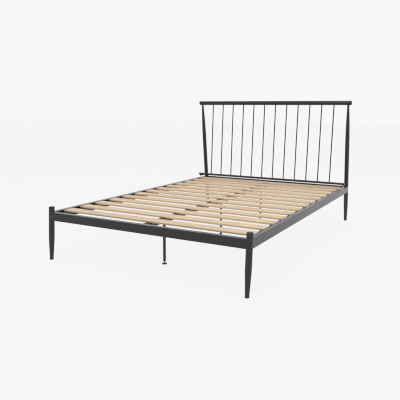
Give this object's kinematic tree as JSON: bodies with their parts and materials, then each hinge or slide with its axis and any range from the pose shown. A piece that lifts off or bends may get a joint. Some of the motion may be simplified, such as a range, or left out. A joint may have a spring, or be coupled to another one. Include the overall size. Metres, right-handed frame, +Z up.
{
  "type": "bed frame",
  "caption": "Black steel bed frame with tapered splayed posts, a round-railed spindle headboard, a slatted base and screw-adjustable legs under its centre rail.",
  "frame": {"origin": "on the floor, in the middle of the footprint of the whole frame", "axes": "+Z up, +Y from the foot end towards the headboard, +X to the right of someone standing at the foot end and looking at the headboard"},
  "size_m": [1.557, 2.3813, 1.1315],
  "materials": {
    "frame_paint": "satin black powder coat",
    "spindle_paint": "satin black powder coat",
    "cap_plastic": "fine matt black",
    "glide_plastic": "fine matt black",
    "slat_plywood": "sanded pale plywood",
    "plated_stud": "zinc plated thread",
    "pad_rubber": "matt black"
  },
  "bodies": {
    "frame": {"centre_hanger_foot": "frame_paint", "centre_hanger_head": "frame_paint", "centre_leg_1": "frame_paint", "centre_leg_2": "frame_paint", "centre_leg_3": "frame_paint", "centre_rail": "frame_paint", "foot_glide_left": "glide_plastic", "foot_glide_right": "glide_plastic", "foot_post_cap_left": "cap_plastic", "foot_post_cap_right": "cap_plastic", "foot_post_left": "frame_paint", "foot_post_right": "frame_paint", "foot_rail": "frame_paint", "head_glide_left": "glide_plastic", "head_glide_right": "glide_plastic", "head_rail": "frame_paint", "headboard_bracket_left": "frame_paint", "headboard_bracket_right": "frame_paint", "headboard_lower_rail": "frame_paint", "headboard_post_left": "frame_paint", "headboard_post_right": "frame_paint", "headboard_spindle_01": "spindle_paint", "headboard_spindle_02": "spindle_paint", "headboard_spindle_03": "spindle_paint", "headboard_spindle_04": "spindle_paint", "headboard_spindle_05": "spindle_paint", "headboard_spindle_06": "spindle_paint", "headboard_spindle_07": "spindle_paint", "headboard_spindle_08": "spindle_paint", "headboard_spindle_09": "spindle_paint", "headboard_spindle_10": "spindle_paint", "headboard_spindle_11": "spindle_paint", "headboard_spindle_12": "spindle_paint", "headboard_top_rail": "frame_paint", "side_rail_left": "frame_paint", "side_rail_right": "frame_paint", "slat_01": "slat_plywood", "slat_02": "slat_plywood", "slat_03": "slat_plywood", "slat_04": "slat_plywood", "slat_05": "slat_plywood", "slat_06": "slat_plywood", "slat_07": "slat_plywood", "slat_08": "slat_plywood", "slat_09": "slat_plywood", "slat_10": "slat_plywood", "slat_11": "slat_plywood", "slat_12": "slat_plywood", "slat_13": "slat_plywood", "slat_ledge_left": "frame_paint", "slat_ledge_right": "frame_paint", "top_rail_cap_left": "cap_plastic", "top_rail_cap_right": "cap_plastic"},
    "levelling_pad_1": {"levelling_pad_1": "pad_rubber"},
    "levelling_stud_1": {"levelling_stud_1": "plated_stud"},
    "levelling_pad_2": {"levelling_pad_2": "pad_rubber"},
    "levelling_stud_2": {"levelling_stud_2": "plated_stud"},
    "levelling_pad_3": {"levelling_pad_3": "pad_rubber"},
    "levelling_stud_3": {"levelling_stud_3": "plated_stud"}
  },
  "joints": [
    {"name": "foot_height_1", "type": "slide", "parent": "frame", "child": "levelling_pad_1", "axis": [0, 0, -1], "range_m": [-0.01, 0.015]},
    {"name": "stud_turn_1", "type": "hinge", "parent": "levelling_pad_1", "child": "levelling_stud_1", "pos_m": [0, -0.87362, 0], "axis": [0, 0, -1], "range_deg": [-2900, 4345]},
    {"name": "foot_height_2", "type": "slide", "parent": "frame", "child": "levelling_pad_2", "axis": [0, 0, -1], "range_m": [-0.01, 0.015]},
    {"name": "stud_turn_2", "type": "hinge", "parent": "levelling_pad_2", "child": "levelling_stud_2", "pos_m": [0, -0.01045, 0], "axis": [0, 0, -1], "range_deg": [-2900, 4345]},
    {"name": "foot_height_3", "type": "slide", "parent": "frame", "child": "levelling_pad_3", "axis": [0, 0, -1], "range_m": [-0.01, 0.015]},
    {"name": "stud_turn_3", "type": "hinge", "parent": "levelling_pad_3", "child": "levelling_stud_3", "pos_m": [0, 0.85271, 0], "axis": [0, 0, -1], "range_deg": [-2900, 4345]}
  ],
  "couplings": [
    {"joint": "stud_turn_1", "follows": "foot_height_1", "rad_per_m": 5026.5},
    {"joint": "stud_turn_2", "follows": "foot_height_2", "rad_per_m": 5026.5},
    {"joint": "stud_turn_3", "follows": "foot_height_3", "rad_per_m": 5026.5}
  ]
}
